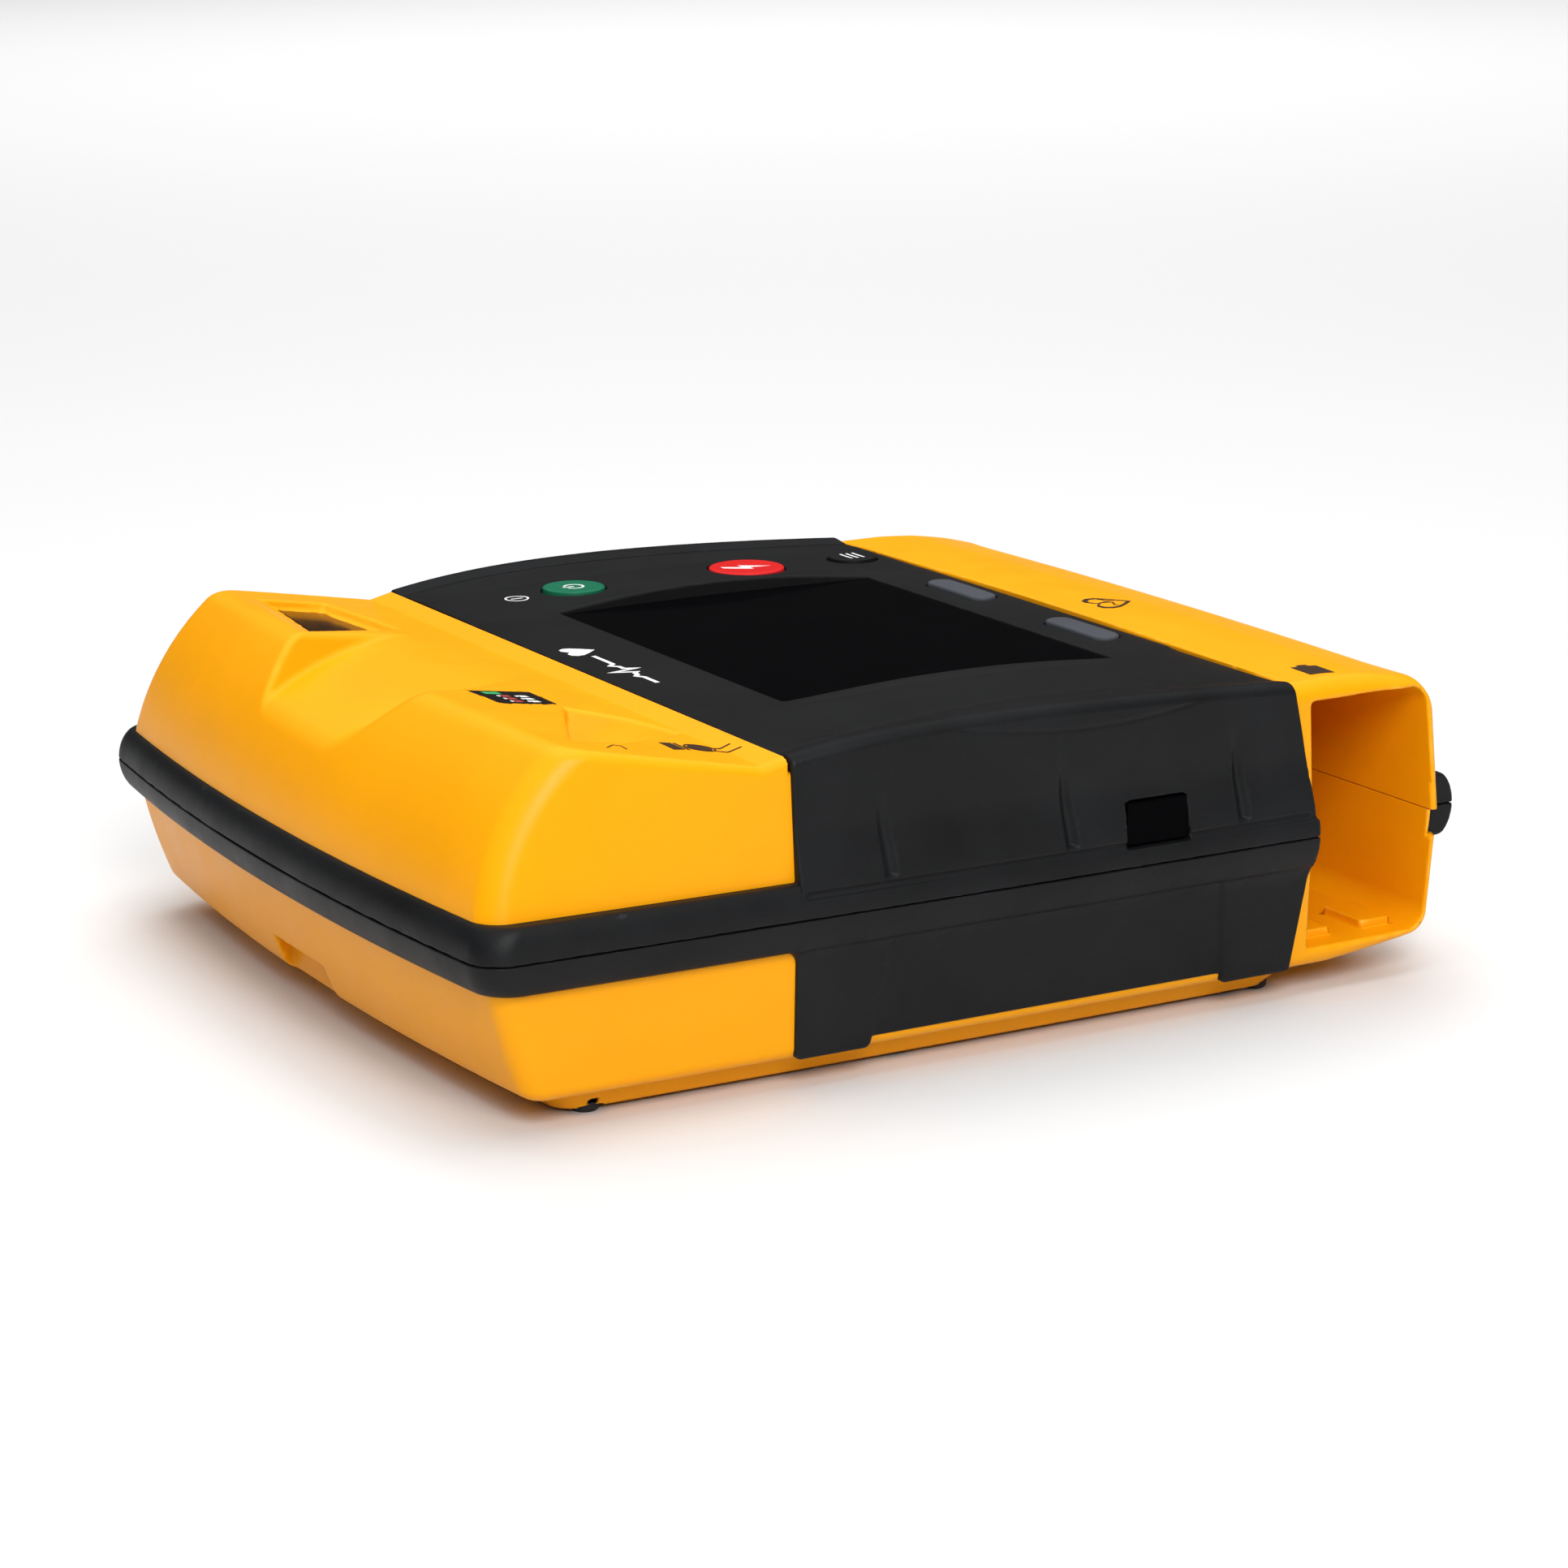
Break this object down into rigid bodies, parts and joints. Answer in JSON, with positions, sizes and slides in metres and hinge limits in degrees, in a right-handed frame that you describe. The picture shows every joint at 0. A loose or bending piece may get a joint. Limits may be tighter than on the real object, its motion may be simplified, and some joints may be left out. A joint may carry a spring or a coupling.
{
  "type": "automated external defibrillator",
  "caption": "Portable defibrillator in a yellow case with black rubber bumpers, dark display, press buttons, an electrode recess and an open battery bay, lying on its back.",
  "frame": {"origin": "on the floor under the middle of the body's bounding box", "axes": "+X to the user's right, +Y towards the top end with the electrode socket, +Z out of the display; the device lies on its back on its four feet"},
  "size_m": [0.234, 0.2768, 0.086],
  "materials": {
    "yellow_plastic": "satin moulded plastic with a very fine grain",
    "black_rubber": "matt moulded elastomer",
    "black_plastic": "fine-textured moulded plastic",
    "dark_window": "polished, almost opaque",
    "smoked_window": "polished, smoked",
    "green_button": "satin, moulded",
    "red_button": "satin, moulded, translucent",
    "grey_key": "satin silicone-like key",
    "steel": "plain",
    "contact_brass": "plated contact",
    "circuit_board": "solder mask",
    "display_dark": "dark, unlit",
    "heat_sink": "extruded"
  },
  "bodies": {
    "case": {"backup_cell": "steel", "battery_contact_1": "contact_brass", "battery_contact_2": "contact_brass", "battery_contact_3": "contact_brass", "battery_contact_4": "contact_brass", "battery_contact_block": "black_plastic", "case_screw_1": "steel", "case_screw_2": "steel", "case_screw_3": "steel", "case_screw_4": "steel", "case_screw_5": "steel", "case_screw_6": "steel", "case_seal": "black_rubber", "charging_transformer": "black_plastic", "chassis": "black_plastic", "display_bracket": "steel", "display_module": "display_dark", "display_window": "dark_window", "dome_switch_left": "steel", "dome_switch_menu": "steel", "dome_switch_on": "steel", "dome_switch_right": "steel", "dome_switch_shock": "steel", "electrode_pin_1": "contact_brass", "electrode_pin_2": "contact_brass", "electrode_socket": "black_plastic", "foot_1": "black_rubber", "foot_2": "black_rubber", "foot_3": "black_rubber", "foot_4": "black_rubber", "front_bumper": "black_rubber", "front_case": "yellow_plastic", "front_panel": "black_plastic", "heat_sink": "heat_sink", "infrared_transceiver": "black_plastic", "infrared_window": "dark_window", "instruction_label": "display_dark", "key_board": "circuit_board", "main_board": "circuit_board", "readiness_display": "grey_key", "readiness_window": "smoked_window", "rear_bumper": "black_rubber", "rear_case": "yellow_plastic", "ribbon_cable": "grey_key", "shock_capacitor": "display_dark", "speaker": "black_plastic", "switching_module": "black_plastic", "transfer_relay": "black_plastic"},
    "on_off": {"on_off_button": "green_button"},
    "shock": {"shock_button": "red_button"},
    "menu": {"menu_button": "black_plastic"},
    "soft_left": {"soft_key_left": "grey_key"},
    "soft_right": {"soft_key_right": "grey_key"}
  },
  "joints": [
    {"name": "on_off_press", "type": "slide", "parent": "case", "child": "on_off", "axis": [0, 0, -1], "range_m": [0, 0.0012], "stiffness_N_per_m": 1600},
    {"name": "shock_press", "type": "slide", "parent": "case", "child": "shock", "axis": [0, 0, -1], "range_m": [0, 0.0012], "stiffness_N_per_m": 1600},
    {"name": "menu_press", "type": "slide", "parent": "case", "child": "menu", "axis": [0, 0, -1], "range_m": [0, 0.0012], "stiffness_N_per_m": 1600},
    {"name": "soft_key_left_press", "type": "slide", "parent": "case", "child": "soft_left", "axis": [0, 0, -1], "range_m": [0, 0.0008], "stiffness_N_per_m": 2000},
    {"name": "soft_key_right_press", "type": "slide", "parent": "case", "child": "soft_right", "axis": [0, 0, -1], "range_m": [0, 0.0008], "stiffness_N_per_m": 2000}
  ]
}
